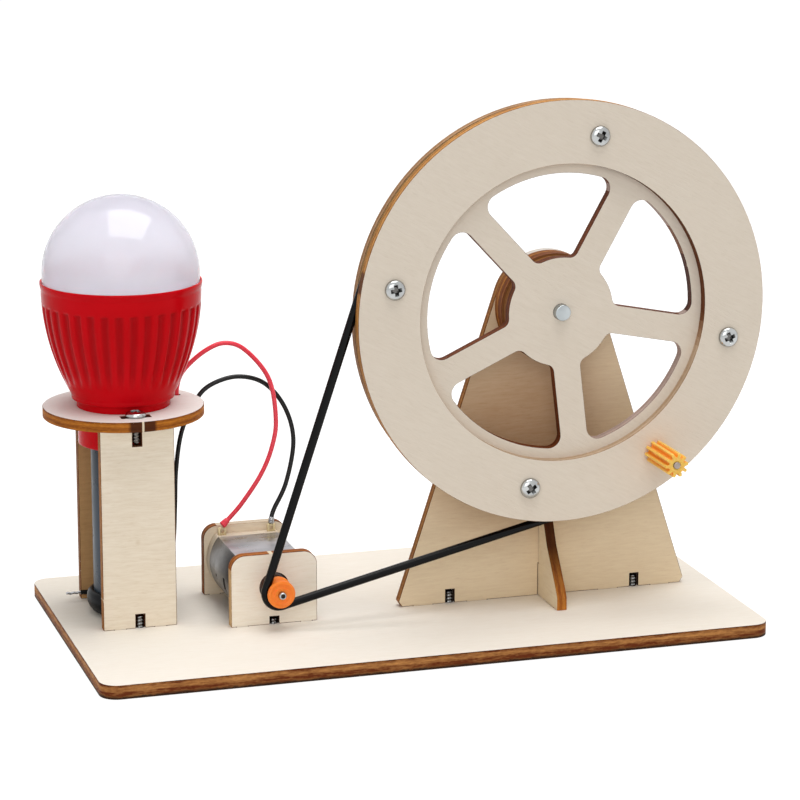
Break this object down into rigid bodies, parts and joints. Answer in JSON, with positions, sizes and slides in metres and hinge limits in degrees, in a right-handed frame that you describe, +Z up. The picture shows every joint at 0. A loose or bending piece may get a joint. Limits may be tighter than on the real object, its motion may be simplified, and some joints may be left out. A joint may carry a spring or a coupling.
{
  "type": "hand crank generator",
  "caption": "Plywood demonstration hand crank generator: a spoked wheel turns a small motor by a round belt to light a lamp on a table.",
  "frame": {"origin": "middle of the base plate's underside", "axes": "+X along the base from the lamp to the wheel, +Y from the crank side to the back, +Z up"},
  "size_m": [0.2011, 0.1024, 0.15],
  "materials": {
    "plywood": "sanded laser-cut plywood with burnt edges",
    "red_plastic": "glossy moulded red",
    "frosted_plastic": "frosted white diffuser",
    "board_metal": "white-coated aluminium board",
    "led_phosphor": "yellow phosphor",
    "cell_sleeve": "grey-blue shrink sleeve",
    "black_plastic": "satin black moulding",
    "can_steel": "zinc-plated drawn can",
    "tan_plastic": "tan moulded end cap",
    "brass": "plain brass",
    "magnet_iron": "dark sintered iron",
    "copper_wire": "enamelled copper",
    "belt_rubber": "matt black rubber",
    "red_insulation": "soft red insulation",
    "black_insulation": "soft black insulation",
    "steel": "ground steel",
    "screw_chrome": "bright nickel plate",
    "orange_plastic": "moulded orange",
    "knob_plastic": "moulded light orange"
  },
  "bodies": {
    "stand": {"base_plate": "plywood", "stand_plate": "plywood", "stand_fin": "plywood", "boss_disc_rear": "plywood", "boss_disc_front": "plywood", "lamp_post_front": "plywood", "lamp_post_rear": "plywood", "lamp_table": "plywood", "motor_bracket_front": "plywood", "motor_bracket_rear": "plywood", "lamp_cup": "red_plastic", "lamp_dome": "frosted_plastic", "led_board": "board_metal", "led_chips": "led_phosphor", "storage_cell": "cell_sleeve", "cell_button": "steel", "cell_end_cup": "black_plastic", "motor_can": "can_steel", "motor_end_cap": "tan_plastic", "motor_terminal_red": "brass", "motor_terminal_black": "brass", "motor_magnets": "magnet_iron", "motor_brushes": "brass", "motor_bearing_front": "brass", "motor_bearing_rear": "brass", "drive_belt": "belt_rubber", "red_wire": "red_insulation", "black_wire": "black_insulation", "black_wire_tip": "steel", "stand_screw_left": "screw_chrome", "stand_screw_right": "screw_chrome", "motor_screw_front": "screw_chrome", "motor_screw_rear": "screw_chrome", "post_screw_front": "screw_chrome", "post_screw_rear": "screw_chrome", "table_screw_front": "screw_chrome", "table_screw_rear": "screw_chrome"},
    "wheel": {"wheel_front_ring": "plywood", "wheel_spider": "plywood", "wheel_rear_ring": "plywood", "wheel_hub_disc": "plywood", "ring_screw_1": "screw_chrome", "ring_screw_2": "screw_chrome", "ring_screw_3": "screw_chrome", "ring_screw_4": "screw_chrome", "wheel_axle": "steel", "axle_collar": "steel"},
    "rotor": {"motor_shaft": "steel", "motor_pulley": "orange_plastic", "armature_core": "magnet_iron", "armature_windings": "copper_wire", "commutator": "brass"},
    "knob": {"crank_knob": "knob_plastic", "crank_pin": "steel", "crank_pin_collar": "steel"}
  },
  "joints": [
    {"name": "wheel_spin", "type": "hinge", "parent": "stand", "child": "wheel", "pos_m": [0.0434, -0.01, 0.09], "axis": [0, -1, 0], "continuous": true},
    {"name": "rotor_spin", "type": "hinge", "parent": "stand", "child": "rotor", "pos_m": [-0.0383, 0, 0.0148], "axis": [0, -1, 0], "continuous": true},
    {"name": "knob_spin", "type": "hinge", "parent": "wheel", "child": "knob", "pos_m": [0.07164, -0.03, 0.04813], "axis": [0, -1, 0], "continuous": true}
  ],
  "couplings": [
    {"joint": "rotor_spin", "follows": "wheel_spin", "ratio": 14.309}
  ]
}
